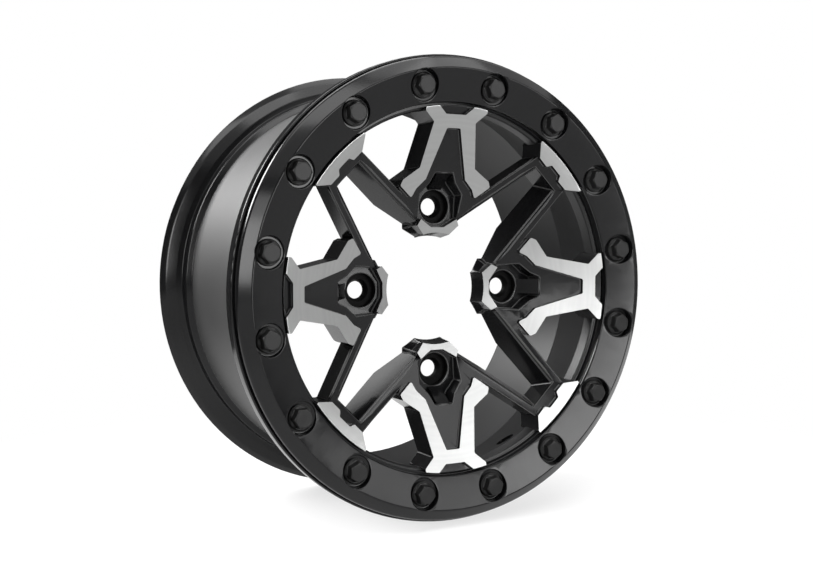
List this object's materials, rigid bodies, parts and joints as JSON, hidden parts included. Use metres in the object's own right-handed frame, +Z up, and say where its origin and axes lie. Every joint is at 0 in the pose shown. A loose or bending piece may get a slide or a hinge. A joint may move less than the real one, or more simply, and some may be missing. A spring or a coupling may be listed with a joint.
{
  "type": "beadlock wheel",
  "caption": "Cast alloy off-road wheel with a bolted beadlock clamp ring, machined split spokes over black paint, recessed lug seats, open star centre and a deep barrel.",
  "frame": {"origin": "centre of the lug circle on the hub face", "axes": "Y along the wheel axis with the clamp ring facing -Y, +Z up, +X to the right seen from the front, one spoke straight up"},
  "size_m": [0.3863, 0.199, 0.3864],
  "materials": {
    "wheel_paint": "gloss black paint over cast aluminium, spoke faces machined bare",
    "ring_paint": "satin black paint over aluminium",
    "bolt_steel": "black plated steel"
  },
  "bodies": {
    "root": {"wheel_casting": "wheel_paint", "beadlock_ring": "ring_paint", "ring_bolts": "bolt_steel"}
  },
  "joints": []
}
